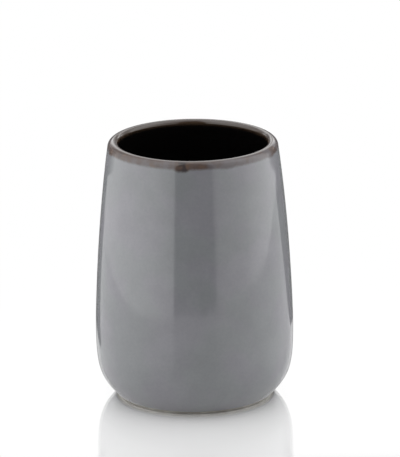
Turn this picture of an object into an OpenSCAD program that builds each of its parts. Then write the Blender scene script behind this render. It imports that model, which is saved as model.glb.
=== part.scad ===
// Bathroom tumbler in glazed stoneware: a clay body with a bare foot ring, coated in fired glazes.
// The axis of the tumbler is Z, it stands on z = 0 and the origin is the centre of its foot.
// Every outline lies in the half plane x = radius, y = height, and is turned about Z.

/* [Outline] */
// Height from the table to the top of the lip
total_h = 105.5; // [85:0.5:130]
// Diameter of the glazed belly at its widest ring
belly_d = 80; // [66:0.5:96]
// Height of the widest ring above the table
belly_z = 28; // [22:0.5:38]
// Diameter of the crest that runs round the top of the lip
mouth_d = 63.6; // [52:0.2:76]

/* [Wall and floor] */
// Thickness of the clay in the wall
clay_t = 3.3; // [2.6:0.1:5]
// Thickness of the clay in the floor
floor_t = 3.6; // [2.6:0.1:6]
// Radius between the wall and the floor on the inside, over the glaze
floor_corner_r = 13; // [8:0.5:17]

/* [Foot] */
// Outer diameter of the bare foot ring
foot_d = 62.4; // [51:0.2:75]
// Height of the upright outer side of the foot ring
foot_h = 1; // [0.6:0.1:2]
// Width of the foot ring
foot_w = 4.6; // [3:0.1:8]
// Radius of the foot ring's two lower edges
foot_edge_r = 0.4; // [0.2:0.05:0.5]
// Depth of the well inside the foot ring, in the clay
well_h = 1.8; // [1:0.1:3]

/* [Glaze] */
// Thickness of each coat of glaze
glaze_t = 0.45; // [0.3:0.05:0.6]
// Width by which the outer glaze's lower edge stands out past the foot ring
glaze_overhang = 0.8; // [0.6:0.05:2]
// Height of the brown band that the glaze turns to over the lip
rim_h = 2.8; // [1.5:0.1:4]

/* [Hidden] */
$fn = 180;

// Steps along the curve under the belly, along the wall and round a quarter of a circle
under_steps = 20;
wall_steps = 14;
quarter_steps = 10;
// Two points closer than this are one point
same_point = 0.001;
// Length by which a cutting shape runs past what it cuts
overrun = 2;

clay_colour = [0.66, 0.59, 0.50];
grey_glaze_colour = [0.47, 0.47, 0.48];
brown_glaze_colour = [0.30, 0.25, 0.23];
black_glaze_colour = [0.03, 0.03, 0.03];

belly_r = belly_d / 2;
mouth_r = mouth_d / 2;
foot_r = foot_d / 2;
well_r = foot_r - foot_w;

// The lip is rounded from its crest, more widely on the outside than on the inside
lip_outer_share = 0.6;
wall_t = clay_t + 2 * glaze_t;
lip_outer_r = lip_outer_share * wall_t;
lip_inner_r = wall_t - lip_outer_r;
lip_outer_c = [mouth_r, total_h - lip_outer_r];
lip_inner_c = [mouth_r, total_h - lip_inner_r];

// The wall is upright at the widest ring and leans in most at the lip, by a share of its mean lean
lip_lean_share = 1.835;
wall_rise = lip_outer_c.y - belly_z;
lip_lean = atan(lip_lean_share * (belly_r - mouth_r - lip_outer_r) / wall_rise);

// The curve of the glazed wall, which starts upright at the widest ring and ends under the lip.
// The reaches of its two ends are shares of the wall's rise.
wall_reach_shares = [0.081, 0.45];
widest = [belly_r, belly_z];
wall_top = lip_outer_c + lip_outer_r * direction(lip_lean);
wall_curve = [
    widest,
    widest + [0, wall_reach_shares[0] * wall_rise],
    wall_top - wall_reach_shares[1] * wall_rise * direction(lip_lean + 90),
    wall_top
];

// The curve of the glaze under the belly, from its edge over the foot to the widest ring.
// Its reaches are shares of the width and the height between the two.
edge_reach_shares = [0.85, 0.26];
widest_reach_share = 0.615;
glaze_edge = [foot_r + glaze_overhang, foot_h];
under_size = widest - glaze_edge;
under_curve = [
    glaze_edge,
    glaze_edge + [edge_reach_shares[0] * under_size.x, edge_reach_shares[1] * under_size.y],
    widest - [0, widest_reach_share * under_size.y],
    widest
];

// The floor, over the glaze, and the corner round it
floor_z = well_h + floor_t + glaze_t;
floor_corner_c = [belly_r - wall_t - floor_corner_r, floor_z + floor_corner_r];

// The runs below the brown band: the place of each as a share of a full turn from +X, and
// its depth and its radius as shares of the band's height
rim_z = total_h - rim_h;
run_shares = [
    [0.060, 0.15, 2.5],
    [0.200, 0.25, 1.6],
    [0.360, 0.16, 2.4],
    [0.545, 0.20, 1.8],
    [0.729, 0.35, 1.4],
    [0.815, 0.14, 3.0],
    [0.930, 0.20, 2.0]
];

function direction(a) = [cos(a), sin(a)];
function reversed(points) = [for (i = [len(points) - 1:-1:0]) points[i]];

// Points of an arc, ends included
function arc(centre, radius, from_a, to_a) = [
    for (i = [0:quarter_steps]) centre + radius * direction(from_a + (to_a - from_a) * i / quarter_steps)
];

// Points of a cubic curve, each set in from it by a depth, square to the curve's run there
function curve_point(c, t) =
    (1 - t) ^ 3 * c[0] + 3 * (1 - t) ^ 2 * t * c[1] + 3 * (1 - t) * t ^ 2 * c[2] + t ^ 3 * c[3];
function curve_run(c, t) =
    (1 - t) ^ 2 * (c[1] - c[0]) + 2 * (1 - t) * t * (c[2] - c[1]) + t ^ 2 * (c[3] - c[2]);
function set_in(point, run, depth) = point - depth * [run.y, -run.x] / norm(run);
function curve(c, steps, depth) = [
    for (i = [0:steps]) set_in(curve_point(c, i / steps), curve_run(c, i / steps), depth)
];

// The outside at a depth below the glaze, from the glaze's lower edge to the wall's top
function outside(depth) = concat(
    curve(under_curve, under_steps, depth),
    curve(wall_curve, wall_steps, depth)
);

// The inside at a depth below its glaze, from the wall's top to the middle of the floor
function inside(depth) = concat(
    reversed(curve(wall_curve, wall_steps, wall_t - depth)),
    arc(floor_corner_c, floor_corner_r + depth, 0, -90),
    [[0, floor_z - depth]]
);

// The lip at a depth below its glaze, from the wall's top outside to the wall's top inside
function lip(depth) = concat(
    arc(lip_outer_c, lip_outer_r - depth, lip_lean, 90),
    arc(lip_inner_c, lip_inner_r - depth, 90, 180),
    [inside(depth)[0]]
);

// The foot ring, from the middle of the well to the top of the ring's outer side
function foot() = concat(
    [[0, well_h], [well_r, well_h]],
    arc([well_r + foot_edge_r, foot_edge_r], foot_edge_r, 180, 270),
    arc([foot_r - foot_edge_r, foot_edge_r], foot_edge_r, 270, 360),
    [[foot_r, foot_h]]
);

// Turns an outline about Z, with the point that two of its lines share taken once
module turned(points) {
    rotate_extrude()
        polygon([for (i = [0:len(points) - 1]) if (i == 0 || norm(points[i] - points[i - 1]) > same_point) points[i]]);
}

// The coat of glaze over the outside and the lip, as one skin
module outer_coat() {
    turned(concat(outside(0), lip(0), reversed(lip(glaze_t)), reversed(outside(glaze_t))));
}

// Where that coat is brown: above the band's lower edge, inside the crest, and down the runs
module rim_zone() {
    translate([0, 0, rim_z])
        cylinder(r = belly_r + wall_t + overrun, h = rim_h + overrun);
    translate([0, 0, total_h - wall_t - overrun])
        cylinder(r = mouth_r, h = wall_t + overrun);
    for (run = run_shares) {
        run_r = run[2] * rim_h;
        rotate([0, 0, run[0] * 360])
            translate([mouth_r, 0, rim_z - run[1] * rim_h + run_r])
                rotate([0, 90, 0])
                    cylinder(r = run_r, h = wall_t + overrun);
    }
}

module stoneware_body() {
    color(clay_colour)
        turned(concat(foot(), outside(glaze_t), lip(glaze_t), inside(glaze_t)));
}

module liner_glaze() {
    color(black_glaze_colour)
        turned(concat(inside(0), reversed(inside(glaze_t))));
}

module outer_glaze() {
    color(grey_glaze_colour)
        difference() {
            outer_coat();
            rim_zone();
        }
}

module rim_glaze() {
    color(brown_glaze_colour)
        intersection() {
            outer_coat();
            rim_zone();
        }
}

module foot_well_glaze() {
    color(grey_glaze_colour)
        translate([0, 0, well_h - glaze_t])
            cylinder(r = well_r, h = glaze_t);
}

stoneware_body();
liner_glaze();
outer_glaze();
rim_glaze();
foot_well_glaze();
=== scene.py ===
"""The looks of a glazed stoneware tumbler, on a white table among white walls of light.

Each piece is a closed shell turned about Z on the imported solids' own outline. The glaze's surface swells
and ripples a little, its lower edge is a wavy bead over the bare foot, and its colour turns to brown over
the lip and to black inside. Lengths are in metres unless a comment says millimetres, and angles are in
radians.
"""
import math

import bpy
import numpy as np
from mathutils import Matrix, Vector, noise


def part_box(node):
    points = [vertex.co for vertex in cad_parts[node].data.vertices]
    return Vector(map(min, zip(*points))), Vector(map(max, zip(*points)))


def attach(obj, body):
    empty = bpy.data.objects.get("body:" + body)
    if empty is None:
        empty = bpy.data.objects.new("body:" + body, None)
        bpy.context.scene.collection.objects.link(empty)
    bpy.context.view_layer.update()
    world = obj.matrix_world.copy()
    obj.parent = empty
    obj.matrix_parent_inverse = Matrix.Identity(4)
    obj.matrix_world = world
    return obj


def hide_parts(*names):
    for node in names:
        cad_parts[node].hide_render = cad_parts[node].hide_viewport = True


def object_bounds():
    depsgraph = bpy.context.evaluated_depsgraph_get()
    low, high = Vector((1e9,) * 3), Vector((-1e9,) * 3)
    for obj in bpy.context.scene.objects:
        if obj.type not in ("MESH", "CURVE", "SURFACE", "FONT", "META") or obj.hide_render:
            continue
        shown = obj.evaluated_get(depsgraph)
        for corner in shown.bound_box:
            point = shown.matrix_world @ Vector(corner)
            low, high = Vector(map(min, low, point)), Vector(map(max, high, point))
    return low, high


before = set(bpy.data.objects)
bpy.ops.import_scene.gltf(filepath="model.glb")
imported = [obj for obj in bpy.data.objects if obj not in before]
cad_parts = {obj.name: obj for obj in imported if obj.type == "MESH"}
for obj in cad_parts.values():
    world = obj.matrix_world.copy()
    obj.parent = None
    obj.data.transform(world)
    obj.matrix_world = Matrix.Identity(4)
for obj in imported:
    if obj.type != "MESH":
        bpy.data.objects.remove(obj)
CAD_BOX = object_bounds()

MM = 0.001

# The outline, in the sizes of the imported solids
HEIGHT = CAD_BOX[1].z
BELLY_R = CAD_BOX[1].x
BELLY_Z = 28 * MM
MOUTH_R = 31.8 * MM
FOOT_R = 31.2 * MM
GLAZE_OVERHANG = 0.8 * MM
WELL_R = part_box("foot_well_glaze")[1].x
WELL_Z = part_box("foot_well_glaze")[1].z
GLAZE_T = WELL_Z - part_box("foot_well_glaze")[0].z
FLOOR_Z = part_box("liner_glaze")[0].z + GLAZE_T
FLOOR_CORNER_R = 13 * MM
FOOT_EDGE_R = 0.4 * MM
CLAY_T = 3.3 * MM
WALL_T = CLAY_T + 2 * GLAZE_T
LIP_OUTER_SHARE = 0.6
LIP_OUTER_R = LIP_OUTER_SHARE * WALL_T
LIP_INNER_R = WALL_T - LIP_OUTER_R
LIP_LEAN_SHARE = 1.835
WALL_REACH_SHARES = (0.081, 0.45)
EDGE_REACH_SHARES = (0.85, 0.26)
WIDEST_REACH_SHARE = 0.615

# Its points, as radius and height: the glaze's lower edge, the belly at its widest, and the centres of
# the lip's two roundings and of the corner round the floor
GLAZE_EDGE = np.array([FOOT_R + GLAZE_OVERHANG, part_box("outer_glaze")[0].z])
WIDEST = np.array([BELLY_R, BELLY_Z])
LIP_OUTER_C = np.array([MOUTH_R, HEIGHT - LIP_OUTER_R])
LIP_INNER_C = np.array([MOUTH_R, HEIGHT - LIP_INNER_R])
FLOOR_CORNER_C = np.array([BELLY_R - WALL_T - FLOOR_CORNER_R, FLOOR_Z + FLOOR_CORNER_R])

# The brown band over the lip, and its runs: the place of each as a share of a full turn from +X,
# and its depth and radius as shares of the band's height
RIM_H = 2.8 * MM
RUN_SHARES = (
    (0.060, 0.15, 2.5),
    (0.200, 0.25, 1.6),
    (0.360, 0.16, 2.4),
    (0.545, 0.20, 1.8),
    (0.729, 0.35, 1.4),
    (0.815, 0.14, 3.0),
    (0.930, 0.20, 2.0),
)
# A run fades out at this many of its half widths
RUN_FADE = 1.5
# Where the band is browner: place and half width as shares of a full turn, and how much
TONE_SHARES = (
    (0.565, 0.050, 0.45),
    (0.640, 0.060, 0.15),
    (0.729, 0.013, 0.75),
    (0.757, 0.025, 0.35),
    (0.945, 0.016, 0.42),
    (0.130, 0.070, 0.30),
    (0.330, 0.090, 0.35),
)
# How brown it is elsewhere, and at how many of its half widths a browner place fades out
BAND_TONE = 0.35
TONE_FADE = 1.3
# The waves of its lower edge
BAND_WAVE = 0.06 * MM
BAND_WAVE_LENGTH = 7 * MM
BAND_SEED = 3.7

# The hand in the grey glaze: slow swells, finer ripples, and the waves of its edge over the foot
SWELL = 0.030 * MM
SWELL_LENGTH = 26 * MM
SWELL_SEED = 1.3
RIPPLE = 0.006 * MM
RIPPLE_LENGTH = 7 * MM
RIPPLE_SEED = 5.9
EDGE_RECESS = 0.14 * MM
EDGE_WAVE = 0.12 * MM
EDGE_WAVE_LENGTH = 9 * MM
EDGE_SEED = 8.1
# The radius to which the glaze in the well thickens at the well's side
WELL_FILLET_R = 0.6 * MM

# Turned meshes: points round the axis, the length between the rows of each stretch, and how far below
# the lip the lip's rows begin
COLUMNS = 360
WALL_ROW = 1.6 * MM
LIP_ROW = 0.16 * MM
LIP_ROWS_BELOW = 3 * MM
INSIDE_ROW = 1.6 * MM
# Rows round the bead and each other rounding, and across the well's clay and its glaze
BEAD_ROWS = 9
ROUND_ROWS = 7
WELL_ROWS = 14
WELL_GLAZE_ROWS = 12
SHARP_ANGLE = math.radians(38)
# Rings closer than this are one
SAME_PLACE = 0.0001 * MM
# Added to each step along the outline, so that its length always grows
LEAST_STEP = 1e-12
# Points along each curve and arc that the outline is read from
CURVE_POINTS = 400
ARC_POINTS = 60
# The share of the inner wall's points, from its top, that gives way to the curve from the lip
NECK_SHARE = 0.125

# Colours as linear red, green and blue
VIOLET_GREY = (0.156, 0.1555, 0.169)
GREEN_GREY = (0.149, 0.1545, 0.161)
BAND_MAUVE = (0.082, 0.072, 0.075)
BAND_BROWN = (0.066, 0.048, 0.042)
BAND_DARK = (0.037, 0.031, 0.031)
BAND_ORANGE = (0.118, 0.074, 0.050)
CREST_BROWN = (0.069, 0.059, 0.055)
LINER_BROWN = (0.040, 0.026, 0.017)
LINER_BLACK = (0.0022, 0.0020, 0.0020)
CLAY_LIGHT = (0.37, 0.355, 0.325)
CLAY_DARK = (0.28, 0.265, 0.24)
CLAY_SPECK = (0.08, 0.055, 0.04)
WHITE = (1.0, 1.0, 1.0)

# Where the glaze's colours change, in millimetres over the band's lower edge or out from the lip's
# crest, and how far the changes stray from there
BAND_FADE = (-0.8, 0.7)
CREST_FADE = (1.3, 0.3)
LINER_BROWN_FADE = (-0.9, -2.1)
LINER_BLACK_FADE = (-2.0, -3.8)
BREAKUP = 0.12
BREAKUP_SIZE = 0.9 * MM

# The grey's drift between its two colours, and its mottle and cloud, which lighten and darken it
DRIFT_SIZE = 17 * MM
DRIFT_SPAN = (0.38, 0.62)
MOTTLE_SIZE = 1.1 * MM
CLOUD_SIZE = 9 * MM
LEAST_GREY = 0.97
MOST_GREY = 1.03

# The band's patches, flecks, and the tones at which its colours change
PATCH_SIZE = 4 * MM
PATCH = 0.20
BROWN_TONE = (0.25, 0.75)
DARK_TONE = (0.85, 1.2)
FLECK_SIZE = 3.4 * MM
FLECK_SPAN = (0.50, 0.75)
MOST_FLECK = 0.4
FLECK_START = (0.3, 0.8)
FLECK_END = (1.15, 0.85)

# The surfaces: how the light bends in them, their roughness, and the sizes and heights of their bumps
GLAZE_IOR = 1.5
GLAZE_ROUGHNESS = (0.06, 0.10)
SHEEN_SIZE = 6 * MM
PEEL_SIZE = 2.4 * MM
PEEL_BUMP = 0.004 * MM
CLAY_IOR = 1.45
CLAY_ROUGHNESS = (0.75, 0.92)
CLAY_PATCH_SIZE = 4 * MM
GRAIN_SIZE = 0.35 * MM
GRAIN_BUMP = 0.03 * MM
SPECK_SPAN = (0.60, 0.72)
MOST_SPECK = 0.8
# What noise mostly spans, plain and with finer detail
NOISE_SPAN = (0.3, 0.7)
FINE_SPAN = (0.25, 0.75)

# The camera, found by fitting the outline to the photograph, where the tumbler's middle is at this pixel
PHOTO_WIDTH = 400
PHOTO_HEIGHT = 457
TUMBLER_X = 194.0
TUMBLER_Y = 265.6
PIXELS_PER_METRE = 2474.0
CAMERA_DISTANCE = 2.0
CAMERA_ELEVATION = math.radians(16.91)
CAMERA_ROLL = math.radians(0.55)
CLIP_START = 0.1
CLIP_END = 20
# In millimetres, as Blender takes it
SENSOR = 36.0


# Outline

def direction(angle):
    """The unit vector at an angle."""
    return np.array([math.cos(angle), math.sin(angle)])


def cubic(points, t):
    """Points of a cubic curve and its unit normals, which lie to the right of its run."""
    a, b, c, d = points
    t = t[:, None]
    place = (1 - t) ** 3 * a + 3 * (1 - t) ** 2 * t * b + 3 * (1 - t) * t ** 2 * c + t ** 3 * d
    run = (1 - t) ** 2 * (b - a) + 2 * (1 - t) * t * (c - b) + t ** 2 * (d - c)
    normal = np.stack([run[:, 1], -run[:, 0]], axis=1)
    return place, normal / np.linalg.norm(normal, axis=1)[:, None]


def arc(centre, radius, start, end, side=1):
    """Points of an arc and its normals, which point away from its centre, or to it where side is -1."""
    turn = [direction(start + (end - start) * t) for t in np.linspace(0, 1, ARC_POINTS)]
    return centre + radius * np.array(turn), side * np.array(turn)


def outside_curves():
    """The curve under the belly, the curve of the wall, and how far the wall leans in at the lip."""
    rise = LIP_OUTER_C[1] - BELLY_Z
    lean = math.atan(LIP_LEAN_SHARE * (BELLY_R - MOUTH_R - LIP_OUTER_R) / rise)
    top = LIP_OUTER_C + LIP_OUTER_R * direction(lean)
    up = direction(lean + math.pi / 2)
    wall_curve = (
        WIDEST,
        WIDEST + np.array([0, WALL_REACH_SHARES[0] * rise]),
        top - WALL_REACH_SHARES[1] * rise * up,
        top,
    )
    under = WIDEST - GLAZE_EDGE
    under_curve = (
        GLAZE_EDGE,
        GLAZE_EDGE + under * EDGE_REACH_SHARES,
        WIDEST - np.array([0, WIDEST_REACH_SHARE * under[1]]),
        WIDEST,
    )
    return under_curve, wall_curve, lean


def neck_curve(place, inward):
    """The curve from the rounding of the lip to a place of the inner wall, whose normal is inward."""
    start = LIP_INNER_C - np.array([LIP_INNER_R, 0])
    up_wall = np.array([inward[1], -inward[0]])
    reach = np.linalg.norm(start - place) / 3
    return start, start - np.array([0, reach]), place + reach * up_wall, place


class Outline:
    """The glazed outline, from the glaze's lower edge over the lip to the middle of the floor.

    It is read by the length along it. Landmarks: crest, the top of the lip, and liner_top, below the
    lip on the inside, where the liner begins.
    """

    def __init__(self):
        steps = np.linspace(0, 1, CURVE_POINTS)
        under_curve, wall_curve, lean = outside_curves()
        wall, outward = cubic(wall_curve, steps)
        inner_wall = (wall - WALL_T * outward)[::-1]
        inward = -outward[::-1]
        joined = round(NECK_SHARE * CURVE_POINTS)
        stretches = [
            cubic(under_curve, steps),
            (wall, outward),
            arc(LIP_OUTER_C, LIP_OUTER_R, lean, math.pi / 2),
            arc(LIP_INNER_C, LIP_INNER_R, math.pi / 2, math.pi),
            cubic(neck_curve(inner_wall[joined], inward[joined]), steps),
            (inner_wall[joined:], inward[joined:]),
            arc(FLOOR_CORNER_C, FLOOR_CORNER_R, 0, -math.pi / 2, side=-1),
            (np.array([[0.0, FLOOR_Z]]), np.array([[0.0, 1.0]])),
        ]
        self.places = np.concatenate([s[0] for s in stretches])
        self.normals = np.concatenate([s[1] for s in stretches])
        moved = np.linalg.norm(np.diff(self.places, axis=0), axis=1)
        self.lengths = np.concatenate([[0], np.cumsum(moved + LEAST_STEP)])
        ends = np.cumsum([len(s[0]) for s in stretches]) - 1
        self.widest, self.lip_start, self.crest = self.lengths[ends[:3]]
        self.corner_start, self.corner_end, self.end = self.lengths[ends[5:8]]
        self.liner_top = self.length_at(HEIGHT - LIP_OUTER_R, inside=True)
        self.band_low = self.length_at(HEIGHT - RIM_H)

    def length_at(self, height, inside=False):
        """The length along the outline at a height of the wall, outside or inside."""
        chosen = (self.lengths > self.crest) if inside else (self.lengths < self.crest)
        heights = self.places[chosen, 1]
        lengths = self.lengths[chosen]
        order = np.argsort(heights)
        return float(np.interp(height, heights[order], lengths[order]))

    def at(self, length, depth=0.0):
        """(radius, height) at lengths along the outline, at a depth below the glaze."""
        place = [np.interp(length, self.lengths, self.places[:, k]) for k in (0, 1)]
        normal = [np.interp(length, self.lengths, self.normals[:, k]) for k in (0, 1)]
        return place[0] - depth * normal[0], place[1] - depth * normal[1]


OUTLINE = Outline()
ANGLES = np.linspace(0, 2 * math.pi, COLUMNS, endpoint=False)


def wave(angle, radius, length, seed, height=0.0):
    """Smooth noise from -1 to 1 round a circle, with waves of about that length."""
    place = Vector((radius * math.cos(angle), radius * math.sin(angle), height)) / length
    return noise.noise(place + Vector((seed, 0, 0)))


def smooth_step(x):
    """Runs smoothly from 0 to 1, as x does, and stays there."""
    x = np.clip(x, 0, 1)
    return x * x * (3 - 2 * x)


def turn_gap(angles, share):
    """The way round from a place given as a share of a turn, from 0 to pi."""
    return np.abs((angles - share * 2 * math.pi + math.pi) % (2 * math.pi) - math.pi)


def band_edge():
    """The length along the outline of the brown band's lower edge, at each angle."""
    edge = np.array([wave(a, BELLY_R, BAND_WAVE_LENGTH, BAND_SEED) for a in ANGLES]) * BAND_WAVE
    drop = np.zeros(COLUMNS)
    for place, depth, radius in RUN_SHARES:
        half_width = math.sqrt(2 * radius * depth - depth ** 2) * RIM_H
        across = turn_gap(ANGLES, place) * (MOUTH_R + LIP_OUTER_R) / half_width
        drop = np.maximum(drop, depth * RIM_H * smooth_step(RUN_FADE - across))
    return OUTLINE.band_low + edge - drop


def bead_edge():
    """The length along the outline at which the outer glaze ends above the foot, at each angle."""
    waves = np.array([wave(a, FOOT_R, EDGE_WAVE_LENGTH, EDGE_SEED) for a in ANGLES])
    return EDGE_RECESS + EDGE_WAVE * waves


def band_tones():
    """How brown the band is, at each angle."""
    tones = np.full(COLUMNS, BAND_TONE)
    for place, half_width, gain in TONE_SHARES:
        tones += gain * smooth_step(TONE_FADE - turn_gap(ANGLES, place) / (half_width * 2 * math.pi))
    return tones


BAND_EDGE = band_edge()
BEAD_EDGE = bead_edge()
BAND_TONES = band_tones()


def proud(angle, length):
    """How far the glaze stands out of the outline there."""
    radius, height = OUTLINE.at(length)
    swell = SWELL * wave(angle, radius, SWELL_LENGTH, SWELL_SEED, height)
    ripple = RIPPLE * wave(angle, radius, RIPPLE_LENGTH, RIPPLE_SEED, height)
    inside_fade = 1 - smooth_step((length - OUTLINE.lip_start) / (OUTLINE.crest - OUTLINE.lip_start))
    return (swell + ripple) * inside_fade


# Turned meshes

def row(length, depth=0.0, rippled=False):
    """One ring of a shell: lengths along the outline, one or one per angle, at a depth."""
    lengths = np.broadcast_to(length, COLUMNS).astype(float)
    depths = np.full(COLUMNS, float(depth))
    if rippled:
        depths -= [proud(a, s) for a, s in zip(ANGLES, lengths)]
    radii, heights = OUTLINE.at(lengths, depths)
    return radii, heights, lengths


def plain_row(radius, height):
    """One ring of a shell that is off the outline, such as on the foot."""
    return np.full(COLUMNS, radius), np.full(COLUMNS, height), np.zeros(COLUMNS)


def rows_between(start, end, step, depth=0.0, rippled=False):
    """Rings from one length to another, either of them one or one per angle, ends included."""
    start, end = np.broadcast_to(start, COLUMNS), np.broadcast_to(end, COLUMNS)
    count = max(1, round(float(np.abs(end - start).max()) / step))
    return [row(start + (end - start) * k / count, depth, rippled) for k in range(count + 1)]


def without_doubles(rows):
    """The rings with each one that lies on the ring before it left out."""
    kept = [rows[0]]
    for made in rows[1:]:
        apart = np.abs(made[0] - kept[-1][0]) + np.abs(made[1] - kept[-1][1])
        if apart.max() > SAME_PLACE:
            kept.append(made)
    return kept


def turned(name, rows, closed):
    """A shell of rings round Z: closed in a loop, or else closed by a point at each end on the axis."""
    rows = without_doubles(rows)
    rings = rows if closed else rows[1:-1]
    cos, sin = np.cos(ANGLES), np.sin(ANGLES)
    points = np.concatenate([np.stack([r * cos, r * sin, z], axis=1) for r, z, length in rings])
    lengths = np.concatenate([length for r, z, length in rings])
    tones = np.tile(BAND_TONES, len(rings))
    index = np.arange(len(points)).reshape(len(rings), COLUMNS)
    ahead = np.roll(index, -1, axis=1)
    faces = []
    for k in range(len(rings) if closed else len(rings) - 1):
        after = (k + 1) % len(rings)
        faces += np.stack([index[k], ahead[k], ahead[after], index[after]], axis=1).tolist()
    if not closed:
        low, high = len(points), len(points) + 1
        faces += [[low, b, a] for a, b in zip(index[0].tolist(), ahead[0].tolist())]
        faces += [[high, a, b] for a, b in zip(index[-1].tolist(), ahead[-1].tolist())]
        points = np.concatenate([points, [[0, 0, rows[k][1][0]] for k in (0, -1)]])
        lengths = np.concatenate([lengths, [rows[k][2][0] for k in (0, -1)]])
        tones = np.concatenate([tones, [BAND_TONE, BAND_TONE]])
    return smooth_piece(name, points, faces, lengths, tones)


def smooth_piece(name, points, faces, lengths, tones):
    """An object with the masks of the glaze's colours, shaded smoothly but for its sharp edges."""
    mesh = bpy.data.meshes.new(name)
    mesh.from_pydata(points.tolist(), [], faces)
    add_masks(mesh, points, lengths, tones)
    mesh.polygons.foreach_set("use_smooth", [True] * len(mesh.polygons))
    mesh.set_sharp_from_angle(angle=SHARP_ANGLE)
    mesh.update()
    piece = bpy.data.objects.new(name, mesh)
    bpy.context.scene.collection.objects.link(piece)
    return piece


def add_masks(mesh, points, lengths, tones):
    """Gives each point what the glaze's colours follow, with lengths in millimetres.

    from_crest is the length from the lip's crest, above 0 outside and below 0 inside, over_band is the
    length above the brown band's lower edge, and band_tone is how brown the band is there.
    """
    angles = np.arctan2(points[:, 1], points[:, 0])
    edge = np.interp(angles, ANGLES, BAND_EDGE, period=2 * math.pi)
    values = {
        "from_crest": (OUTLINE.crest - lengths) / MM,
        "over_band": (lengths - edge) / MM,
        "band_tone": tones,
    }
    for name, value in values.items():
        attribute = mesh.attributes.new(name, "FLOAT", "POINT")
        attribute.data.foreach_set("value", value.astype(np.float32))


def dress(piece, material, node):
    """Gives a piece its material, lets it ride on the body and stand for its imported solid."""
    piece.data.materials.append(material)
    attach(piece, "root")
    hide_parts(node)
    return piece


def make_outer_glaze(material):
    """The grey coat outside, with a round bead for its lower edge."""
    bead_end = BEAD_EDGE + GLAZE_T / 2
    lip_rows_start = OUTLINE.lip_start - LIP_ROWS_BELOW
    rows = [
        row(bead_end - GLAZE_T / 2 * math.sin(a), GLAZE_T / 2 * (1 + math.cos(a)))
        for a in np.linspace(0, math.pi, BEAD_ROWS)
    ]
    rows += rows_between(bead_end, OUTLINE.widest, WALL_ROW / 2, rippled=True)[1:]
    rows += rows_between(OUTLINE.widest, lip_rows_start, WALL_ROW, rippled=True)
    rows += rows_between(lip_rows_start, BAND_EDGE, LIP_ROW, rippled=True)
    rows += rows_between(BAND_EDGE, lip_rows_start, LIP_ROW * 2, GLAZE_T)
    rows += rows_between(lip_rows_start, OUTLINE.widest, WALL_ROW * 2, GLAZE_T)
    rows += rows_between(OUTLINE.widest, bead_end, WALL_ROW, GLAZE_T)
    # The last ring is the bead's first
    piece = turned("outer_glaze_coat", rows[:-1], closed=True)
    return dress(piece, material, "outer_glaze")


def make_rim_glaze(material):
    """The brown coat over the lip, down to the wall's inner top."""
    rows = rows_between(BAND_EDGE, OUTLINE.crest, LIP_ROW, rippled=True)
    rows += rows_between(OUTLINE.crest, OUTLINE.liner_top, LIP_ROW)
    rows += rows_between(OUTLINE.liner_top, OUTLINE.crest, LIP_ROW * 2, GLAZE_T)
    rows += rows_between(OUTLINE.crest, BAND_EDGE, LIP_ROW * 2, GLAZE_T)
    piece = turned("rim_glaze_coat", rows, closed=True)
    return dress(piece, material, "rim_glaze")


def liner_rows(depth):
    """The inside at a depth below its glaze, from the liner's top to the middle of the floor."""
    rows = rows_between(OUTLINE.liner_top, OUTLINE.corner_start, INSIDE_ROW, depth)
    rows += rows_between(OUTLINE.corner_start, OUTLINE.corner_end, INSIDE_ROW / 2, depth)
    rows += rows_between(OUTLINE.corner_end, OUTLINE.end, INSIDE_ROW * 2, depth)
    return rows


def make_liner_glaze(material):
    """The black coat inside."""
    piece = turned("liner_glaze_coat", liner_rows(GLAZE_T)[::-1] + liner_rows(0), closed=False)
    return dress(piece, material, "liner_glaze")


def foot_rows():
    """The foot ring, from the middle of the well to the top of the ring's outer side."""
    rows = [plain_row(r, WELL_Z) for r in np.linspace(0, WELL_R, WELL_ROWS)]
    inner = np.array([WELL_R + FOOT_EDGE_R, FOOT_EDGE_R])
    outer = np.array([FOOT_R - FOOT_EDGE_R, FOOT_EDGE_R])
    for centre, start, end in ((inner, math.pi, 1.5 * math.pi), (outer, -math.pi / 2, 0)):
        angles = np.linspace(start, end, ROUND_ROWS)
        rows += [plain_row(*(centre + FOOT_EDGE_R * direction(a))) for a in angles]
    rows.append(plain_row(FOOT_R, GLAZE_EDGE[1]))
    return rows


def make_stoneware_body(material):
    """The clay, which shows only at the foot and between the ring and the glaze."""
    rows = foot_rows()
    rows += rows_between(0, OUTLINE.widest, WALL_ROW, GLAZE_T)
    rows += rows_between(OUTLINE.widest, OUTLINE.lip_start, WALL_ROW * 2, GLAZE_T)
    rows += rows_between(OUTLINE.lip_start, OUTLINE.liner_top, LIP_ROW * 3, GLAZE_T)
    rows += rows_between(OUTLINE.liner_top, OUTLINE.corner_start, INSIDE_ROW * 2, GLAZE_T)
    rows += rows_between(OUTLINE.corner_start, OUTLINE.corner_end, INSIDE_ROW, GLAZE_T)
    rows += rows_between(OUTLINE.corner_end, OUTLINE.end, INSIDE_ROW * 2, GLAZE_T)
    piece = turned("stoneware_clay", rows, closed=False)
    return dress(piece, material, "stoneware_body")


def make_well_glaze(material):
    """The glaze in the well under the foot, which thickens into a fillet at the well's side."""
    low = WELL_Z - GLAZE_T
    rows = [plain_row(r, WELL_Z) for r in (0, WELL_R)]
    for a in np.linspace(0, math.pi / 2, ROUND_ROWS):
        inward, down = WELL_FILLET_R * (1 - math.cos(a)), WELL_FILLET_R * (1 - math.sin(a)) / 2
        rows.append(plain_row(WELL_R - inward, low - down))
    rows += [plain_row(r, low) for r in np.linspace(WELL_R - WELL_FILLET_R, 0, WELL_GLAZE_ROWS)]
    piece = turned("foot_well_glaze_coat", rows[::-1], closed=False)
    return dress(piece, material, "foot_well_glaze")


# Materials

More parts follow.
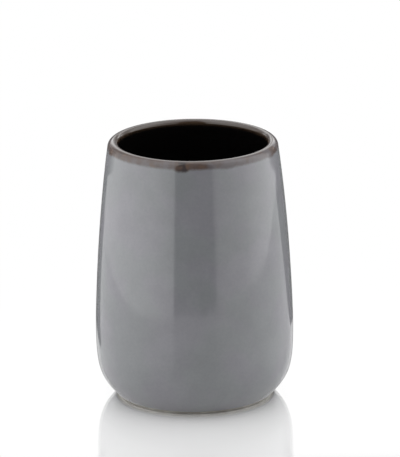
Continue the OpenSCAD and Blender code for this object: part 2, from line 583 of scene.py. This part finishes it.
class Graph:
    """A material's node tree, with short calls for the nodes that the materials use."""

    def __init__(self, tree):
        self.tree = tree
        tree.nodes.clear()

    def add(self, kind, **settings):
        node = self.tree.nodes.new(kind)
        for name, value in settings.items():
            setattr(node, name, value)
        return node

    def feed(self, socket, value):
        """Links a socket to an output, or sets it to a number or colour."""
        if isinstance(value, bpy.types.NodeSocket):
            self.tree.links.new(value, socket)
        elif isinstance(value, tuple) and len(value) == 3 and socket.type == "RGBA":
            socket.default_value = (*value, 1)
        else:
            socket.default_value = value

    def math(self, operation, *values):
        node = self.add("ShaderNodeMath", operation=operation)
        for socket, value in zip(node.inputs, values):
            self.feed(socket, value)
        return node.outputs[0]

    def remap(self, value, low, high, new_low=0.0, new_high=1.0):
        """A smooth step of a value between two limits."""
        node = self.add("ShaderNodeMapRange", interpolation_type="SMOOTHSTEP")
        for socket, given in zip(node.inputs, (value, low, high, new_low, new_high)):
            self.feed(socket, given)
        return node.outputs[0]

    def mix(self, factor, a, b):
        """Two colours, mixed by a factor."""
        node = self.add("ShaderNodeMix", data_type="RGBA")
        for name, given in (("Factor_Float", factor), ("A_Color", a), ("B_Color", b)):
            self.feed(next(s for s in node.inputs if s.identifier == name), given)
        return next(s for s in node.outputs if s.identifier == "Result_Color")

    def blend(self, factor, a, b):
        """Two shaders, mixed by a factor."""
        node = self.add("ShaderNodeMixShader")
        for socket, given in zip(node.inputs, (factor, a, b)):
            self.feed(socket, given)
        return node.outputs[0]

    def scale(self, colour, gain):
        """A colour times a value."""
        node = self.add("ShaderNodeVectorMath", operation="SCALE")
        self.feed(node.inputs[0], colour)
        self.feed(node.inputs["Scale"], gain)
        return node.outputs[0]

    def noise(self, size, detail=2.0, roughness=0.5):
        """Noise whose patches are about that size in metres."""
        node = self.add("ShaderNodeTexNoise")
        self.feed(node.inputs["Vector"], self.place())
        self.feed(node.inputs["Scale"], 1 / size)
        self.feed(node.inputs["Detail"], detail)
        self.feed(node.inputs["Roughness"], roughness)
        return node.outputs["Fac"]

    def place(self):
        return self.add("ShaderNodeTexCoord").outputs["Object"]

    def mask(self, name):
        return self.add("ShaderNodeAttribute", attribute_name=name).outputs["Fac"]

    def bump(self, height, distance):
        node = self.add("ShaderNodeBump")
        self.feed(node.inputs["Height"], height)
        self.feed(node.inputs["Distance"], distance)
        self.feed(node.inputs["Strength"], 1.0)
        return node.outputs["Normal"]

    def surface(self, shader):
        output = self.add("ShaderNodeOutputMaterial")
        self.feed(output.inputs["Surface"], shader)


def new_material(name):
    material = bpy.data.materials.new(name)
    material.use_nodes = True
    return material, Graph(material.node_tree)


def grey_colour(g):
    """Cool grey that drifts between violet and green, with a fine mottle."""
    grey = g.mix(g.remap(g.noise(DRIFT_SIZE), *DRIFT_SPAN), VIOLET_GREY, GREEN_GREY)
    mottle = g.remap(g.noise(MOTTLE_SIZE, detail=3, roughness=0.6), *FINE_SPAN, LEAST_GREY, MOST_GREY)
    cloud = g.remap(g.noise(CLOUD_SIZE), *NOISE_SPAN, LEAST_GREY, MOST_GREY)
    return g.scale(grey, g.math("MULTIPLY", mottle, cloud))


def band_colour(g):
    """Mauve to dark brown by how brown the band is there, with orange flecks."""
    patches = g.remap(g.noise(PATCH_SIZE, detail=3), *NOISE_SPAN, -PATCH, PATCH)
    tone = g.math("ADD", g.mask("band_tone"), patches)
    colour = g.mix(g.remap(tone, *BROWN_TONE), BAND_MAUVE, BAND_BROWN)
    colour = g.mix(g.remap(tone, *DARK_TONE), colour, BAND_DARK)
    flecks = g.remap(g.noise(FLECK_SIZE), *FLECK_SPAN, 0.0, MOST_FLECK)
    in_brown = g.math("MULTIPLY", g.remap(tone, *FLECK_START), g.remap(tone, *FLECK_END))
    return g.mix(g.math("MULTIPLY", flecks, in_brown), colour, BAND_ORANGE)


def glaze(name):
    """Glossy glaze: grey outside, brown over the lip and black inside, wherever those masks put it."""
    material, g = new_material(name)
    breakup = g.remap(g.noise(BREAKUP_SIZE, detail=3), *FINE_SPAN, -BREAKUP, BREAKUP)
    over_band = g.math("ADD", g.mask("over_band"), breakup)
    colour = g.mix(g.remap(over_band, *BAND_FADE), grey_colour(g), band_colour(g))
    from_crest = g.math("ADD", g.mask("from_crest"), breakup)
    colour = g.mix(g.remap(from_crest, *CREST_FADE), colour, CREST_BROWN)
    colour = g.mix(g.remap(from_crest, *LINER_BROWN_FADE), colour, LINER_BROWN)
    colour = g.mix(g.remap(from_crest, *LINER_BLACK_FADE), colour, LINER_BLACK)
    shader = g.add("ShaderNodeBsdfPrincipled")
    g.feed(shader.inputs["Base Color"], colour)
    g.feed(shader.inputs["Roughness"], g.remap(g.noise(SHEEN_SIZE), *NOISE_SPAN, *GLAZE_ROUGHNESS))
    g.feed(shader.inputs["IOR"], GLAZE_IOR)
    g.feed(shader.inputs["Normal"], g.bump(g.noise(PEEL_SIZE), PEEL_BUMP))
    g.surface(shader.outputs[0])
    return material


def clay(name):
    """Bare fired clay: warm, matt and gritty, with dark specks."""
    material, g = new_material(name)
    grain = g.noise(GRAIN_SIZE, detail=4, roughness=0.65)
    patches = g.noise(CLAY_PATCH_SIZE, detail=3)
    colour = g.mix(g.remap(patches, *NOISE_SPAN), CLAY_DARK, CLAY_LIGHT)
    colour = g.mix(g.remap(grain, *SPECK_SPAN, 0.0, MOST_SPECK), colour, CLAY_SPECK)
    shader = g.add("ShaderNodeBsdfPrincipled")
    g.feed(shader.inputs["Base Color"], colour)
    g.feed(shader.inputs["Roughness"], g.remap(grain, *NOISE_SPAN, *CLAY_ROUGHNESS))
    g.feed(shader.inputs["IOR"], CLAY_IOR)
    g.feed(shader.inputs["Normal"], g.bump(grain, GRAIN_BUMP))
    g.surface(shader.outputs[0])
    return material


# Stage

# The sheets of light stand on these lines of the table, seen from above. Each point has its place in
# millimetres and its light. The heights are those of the sheet's lower and upper edges.
LEFT_WALL = (
    (-88, -220, 1.45),
    (-130, -177, 1.9),
    (-166, -139, 2.15),
    (-199, -88, 2.25),
    (-221, -47, 2.2),
    (-247, 22, 1.95),
    (-255, 120, 1.5),
    (-215, 260, 0.85),
)
RIGHT_WALL = (
    (102, -240, 0.35),
    (137, -259, 1.0),
    (249, -140, 1.6),
    (281, -89, 2.1),
    (321, -30, 2.35),
    (359, 44, 2.4),
    (404, 144, 2.2),
    (414, 212, 1.85),
    (380, 330, 1.4),
)
WALL_OF_LIGHT_H = (0.0, 1.1)
FRONT_CARD = ((-88, -220, 0), (-60, -238, 0), (0, -241, 0), (57, -233, 0), (102, -240, 0))
FRONT_CARD_H = (0.0, 1.3)
# Cards for the lip alone to reflect: a dark and a light one close behind it, a dark one before the back
# of each wall of light, and a wide one higher up
LIP_DARK_CARD = ((-175, 100, 0.9), (-115, 100, 0.15), (125, 100, 0.15), (215, 100, 0.9))
LIP_DARK_CARD_H = (0.0655, 0.123)
LEFT_LIP_CARD = ((-232, 120, 1.5), (-220, 190, 0.7), (-190, 300, 0.3))
RIGHT_LIP_CARD = ((340, 330, 0.4), (350, 240, 0.7), (360, 180, 1.6))
SIDE_LIP_CARDS_H = (0.128, 0.35)
LIP_LIGHT_CARD = (
    (-180, 100, 0.4),
    (-75, 100, 0.4),
    (-52, 100, 1.7),
    (-42, 100, 1.9),
    (-32, 100, 0.7),
    (-17, 100, 0.4),
    (-11, 100, 0.05),
    (-2, 100, 0.05),
    (8, 100, 0.7),
    (20, 100, 2.1),
    (28, 100, 1.2),
    (38, 100, 0.8),
    (46, 100, 1.8),
    (52, 100, 1.8),
    (78, 100, 0.6),
    (215, 100, 0.6),
)
LIP_LIGHT_CARD_H = (0.123, 0.145)
HIGH_CARD = (
    (-450, 400, 0.5),
    (-200, 400, 0.5),
    (-110, 400, 1.7),
    (110, 400, 1.7),
    (200, 400, 0.5),
    (450, 400, 0.5),
)
HIGH_CARD_H = (0.25, 0.90)
# The canopy's line is seen from the side, as y and z
CANOPY_LIGHT = 4.4
CANOPY_W = 0.9
CANOPY_LINE = ((-0.05, 1.25), (0.35, 1.15), (0.5, 1.04), (0.75, 0.85), (0.95, 0.45))
# The dark mats' outlines run anticlockwise, in millimetres
LEFT_MAT = (
    (-25, 420), (-384, 392), (-271, 304), (-193, 212), (-155, 159),
    (-110, 91), (-83, 46), (-75, 42), (-66, 90), (-30, 105),
)
RIGHT_MAT = (
    (124, 99), (183, 142), (249, 182), (373, 266), (511, 375),
    (25, 420), (30, 105), (66, 92), (86, 75),
)
MAT_LIGHT = 0.15
LEFT_SHADE = ((-30, 105), (-66, 90), (-44, 14), (-35, 0), (-31.4, 0), (-30, 9))
RIGHT_SHADE = ((66, 92), (30, 105), (30, 9), (31.4, 0), (35, 0), (44, 14))
SHADE_LIGHT = 0.4
# A glowing sheet round the front of the foot, which the glaze alone reflects: painted shade of the table
# near the foot, and painted light further out at the sides. The radius of each of its rings in millimetres,
# and its light in front and at the sides
FOOT_SHADE_AND_LIGHT = ((31.4, 0.60, 0.48), (36, 0.80, 0.62), (45, 0.90, 0.90), (90, 0.78, 1.30))
FOOT_SHADE_AND_LIGHT_STEPS = 24
MAT_LIFT = 0.2 * MM
# The table's gloss, and the extra gloss at the foot, each part of which fades out over a length. The extra
# gloss is painted shade: it darkens the table near the foot with more of the tumbler's dark reflection
TABLE_GLOSS = 0.24
NEAR_SHADE_GLOSS = 0.38
NEAR_LENGTH = 6 * MM
FAR_SHADE_GLOSS = 0.33
FAR_LENGTH = 30 * MM
# The share of its white that the tumbler shades, at the foot
TABLE_SHADED = 0.25
TABLE_ROUGHNESS = 0.06
TABLE_MATT = (0.85, 0.85, 0.85)
TABLE_HALF_W = 3.0


def stage_mesh(name, points, faces, material):
    """A mesh of the stage, which isn't part of the object."""
    mesh = bpy.data.meshes.new(name)
    mesh.from_pydata(points, [], faces)
    mesh.materials.append(material)
    thing = bpy.data.objects.new(name, mesh)
    bpy.context.scene.collection.objects.link(thing)
    return thing


def emission(g, strength):
    """A shader that gives light of that strength, or without one the light of the sheet's points."""
    shader = g.add("ShaderNodeEmission")
    g.feed(shader.inputs["Strength"], g.mask("light") if strength is None else strength)
    return shader.outputs[0]


def glow(name, strength=None):
    """A glow from both sides of a sheet."""
    material, g = new_material(name)
    g.surface(emission(g, strength))
    return material


def one_sided_glow(name, strength=None):
    """A glow from the front of a sheet only: its back lets the table's own reflections through."""
    material, g = new_material(name)
    clear = g.add("ShaderNodeBsdfTransparent")
    backfacing = g.add("ShaderNodeNewGeometry").outputs["Backfacing"]
    g.surface(g.blend(backfacing, emission(g, strength), clear.outputs[0]))
    return material


def make_sheet(name, line, heights):
    """An upright sheet of light over a line of the table, which the camera doesn't see."""
    low = [(x * MM, y * MM, heights[0]) for x, y, light in line]
    high = [(x, y, heights[1]) for x, y, z in low]
    count = len(line)
    faces = [(k, k + 1, count + k + 1, count + k) for k in range(count - 1)]
    sheet = stage_mesh(name, low + high, faces, glow(name))
    add_lights(sheet, [light for x, y, light in line] * 2)
    sheet.visible_camera = False
    return sheet


def add_lights(sheet, lights):
    """Gives each point of a sheet its light."""
    attribute = sheet.data.attributes.new("light", "FLOAT", "POINT")
    attribute.data.foreach_set("value", lights)


def reflected_only(thing):
    """Leaves a thing of the stage to the reflections alone."""
    thing.visible_camera = False
    thing.visible_diffuse = False
    thing.visible_shadow = False


def make_mat(name, outline, light):
    """A flat sheet that lies on the table, for the glaze alone to reflect. Its outline runs anticlockwise.

    The shades made with it are painted shade of the table beside the foot.
    """
    points = [(x * MM, y * MM, MAT_LIFT) for x, y in outline]
    face = tuple(range(len(points)))
    reflected_only(stage_mesh(name, points, [face], one_sided_glow(name, light)))


def make_foot_shade_and_light():
    """A glowing sheet on the table round the front half of the foot, which evens out what the glaze reflects
    there: painted shade of the table near the foot, and painted light further out at the sides.
    """
    angles = np.linspace(-math.pi, 0, FOOT_SHADE_AND_LIGHT_STEPS + 1)
    points, lights = [], []
    for radius, in_front, at_sides in FOOT_SHADE_AND_LIGHT:
        for angle in angles:
            points.append((radius * MM * math.cos(angle), radius * MM * math.sin(angle), MAT_LIFT))
            lights.append(in_front + (at_sides - in_front) * math.cos(angle) ** 2)
    count = len(angles)
    faces = [
        (ring * count + k, (ring + 1) * count + k, (ring + 1) * count + k + 1, ring * count + k + 1)
        for ring in range(len(FOOT_SHADE_AND_LIGHT) - 1)
        for k in range(count - 1)
    ]
    shade_and_light_sheet = stage_mesh("foot_shade_and_light", points, faces, one_sided_glow("foot_shade_and_light"))
    add_lights(shade_and_light_sheet, lights)
    reflected_only(shade_and_light_sheet)


def make_canopy():
    """A bright sheet over and behind the tumbler, for light alone: the glaze doesn't reflect it."""
    points = [(side * CANOPY_W / 2, y, z) for y, z in CANOPY_LINE for side in (-1, 1)]
    faces = [(2 * k, 2 * k + 1, 2 * k + 3, 2 * k + 2) for k in range(len(CANOPY_LINE) - 1)]
    canopy = stage_mesh("canopy", points, faces, glow("canopy", CANOPY_LIGHT))
    canopy.visible_camera = False
    canopy.visible_glossy = False


def seen_plainly(g):
    """1 for the camera's rays and for those that gloss or glass sends on, or else 0."""
    path = g.add("ShaderNodeLightPath")
    seen = g.math("MAXIMUM", path.outputs["Is Camera Ray"], path.outputs["Is Glossy Ray"])
    return g.math("MAXIMUM", seen, path.outputs["Is Transmission Ray"])


def make_table():
    """A white table that keeps a soft shadow of the tumbler.

    Its extra gloss round the foot is painted shade: more of the tumbler's dark reflection there.
    """
    material, g = new_material("table")
    length = g.add("ShaderNodeVectorMath", operation="LENGTH")
    g.feed(length.inputs[0], g.place())
    away = g.math("SUBTRACT", length.outputs["Value"], FOOT_R)
    near = g.math("EXPONENT", g.math("DIVIDE", away, -NEAR_LENGTH))
    far = g.math("EXPONENT", g.math("DIVIDE", away, -FAR_LENGTH))
    # The extra gloss at the foot is painted shade: more of the tumbler's dark reflection near it
    shade_gloss = g.math("ADD", g.math("MULTIPLY", near, NEAR_SHADE_GLOSS), g.math("MULTIPLY", far, FAR_SHADE_GLOSS))
    gloss = g.math("ADD", TABLE_GLOSS, shade_gloss)
    shaded = g.add("ShaderNodeBsdfDiffuse")
    g.feed(shaded.inputs["Color"], WHITE)
    shown = g.blend(g.math("MULTIPLY", far, TABLE_SHADED), emission(g, 1.0), shaded.outputs[0])
    mirror = g.add("ShaderNodeBsdfAnisotropic")
    g.feed(mirror.inputs["Color"], WHITE)
    g.feed(mirror.inputs["Roughness"], TABLE_ROUGHNESS)
    glossy = g.blend(gloss, shown, mirror.outputs[0])
    matt = g.add("ShaderNodeBsdfDiffuse")
    g.feed(matt.inputs["Color"], TABLE_MATT)
    g.surface(g.blend(seen_plainly(g), matt.outputs[0], glossy))
    corners = [(x * TABLE_HALF_W, y * TABLE_HALF_W, 0) for x, y in ((-1, -1), (1, -1), (1, 1), (-1, 1))]
    stage_mesh("table", corners, [(0, 1, 2, 3)], material)


def make_world():
    """White wherever it's seen, which gives no light."""
    world = bpy.data.worlds.new("world")
    world.use_nodes = True
    g = Graph(world.node_tree)
    background = g.add("ShaderNodeBackground")
    g.feed(background.inputs["Strength"], seen_plainly(g))
    g.feed(background.inputs["Color"], WHITE)
    output = g.add("ShaderNodeOutputWorld")
    g.feed(output.inputs["Surface"], background.outputs[0])
    bpy.context.scene.world = world


def make_stage():
    """The table, the walls of light, the cards and mats that the glaze reflects, and the white round them."""
    make_table()
    make_sheet("left_wall", LEFT_WALL, WALL_OF_LIGHT_H)
    make_sheet("right_wall", RIGHT_WALL, WALL_OF_LIGHT_H)
    cards = {
        "front_card": (FRONT_CARD, FRONT_CARD_H),
        "lip_dark_card": (LIP_DARK_CARD, LIP_DARK_CARD_H),
        "lip_light_card": (LIP_LIGHT_CARD, LIP_LIGHT_CARD_H),
        "left_lip_card": (LEFT_LIP_CARD, SIDE_LIP_CARDS_H),
        "right_lip_card": (RIGHT_LIP_CARD, SIDE_LIP_CARDS_H),
        "high_card": (HIGH_CARD, HIGH_CARD_H),
    }
    for name, (line, heights) in cards.items():
        reflected_only(make_sheet(name, line, heights))
    make_canopy()
    make_mat("left_mat", LEFT_MAT, MAT_LIGHT)
    make_mat("right_mat", RIGHT_MAT, MAT_LIGHT)
    make_mat("left_shade", LEFT_SHADE, SHADE_LIGHT)
    make_mat("right_shade", RIGHT_SHADE, SHADE_LIGHT)
    make_foot_shade_and_light()
    make_world()


def make_camera():
    """Looks at the tumbler as the photograph does, with its middle at the photograph's pixel."""
    focal = PIXELS_PER_METRE * CAMERA_DISTANCE
    data = bpy.data.cameras.new("camera")
    data.sensor_width = SENSOR
    data.lens = focal * SENSOR / PHOTO_HEIGHT
    data.clip_start, data.clip_end = CLIP_START, CLIP_END
    camera = bpy.data.objects.new("camera", data)
    bpy.context.scene.collection.objects.link(camera)
    middle = Vector((0, 0, HEIGHT / 2))
    back = Vector((0, -math.cos(CAMERA_ELEVATION), math.sin(CAMERA_ELEVATION)))
    look = (-back).to_track_quat("-Z", "Y").to_matrix()
    roll = Matrix.Rotation(-CAMERA_ROLL, 3, "Z")
    to_middle = Vector((TUMBLER_X - PHOTO_WIDTH / 2, PHOTO_HEIGHT / 2 - TUMBLER_Y, -focal))
    pan = to_middle.rotation_difference(Vector((0, 0, -1))).to_matrix()
    camera.matrix_world = Matrix.Translation(middle + back * CAMERA_DISTANCE) @ (look @ roll @ pan).to_4x4()
    bpy.context.scene.camera = camera


bpy.context.scene.view_settings.view_transform = "Standard"
make_stoneware_body(clay("bare_clay"))
make_liner_glaze(glaze("black_glaze"))
make_outer_glaze(glaze("grey_glaze"))
make_rim_glaze(glaze("brown_glaze"))
make_well_glaze(glaze("well_glaze"))
make_stage()
make_camera()
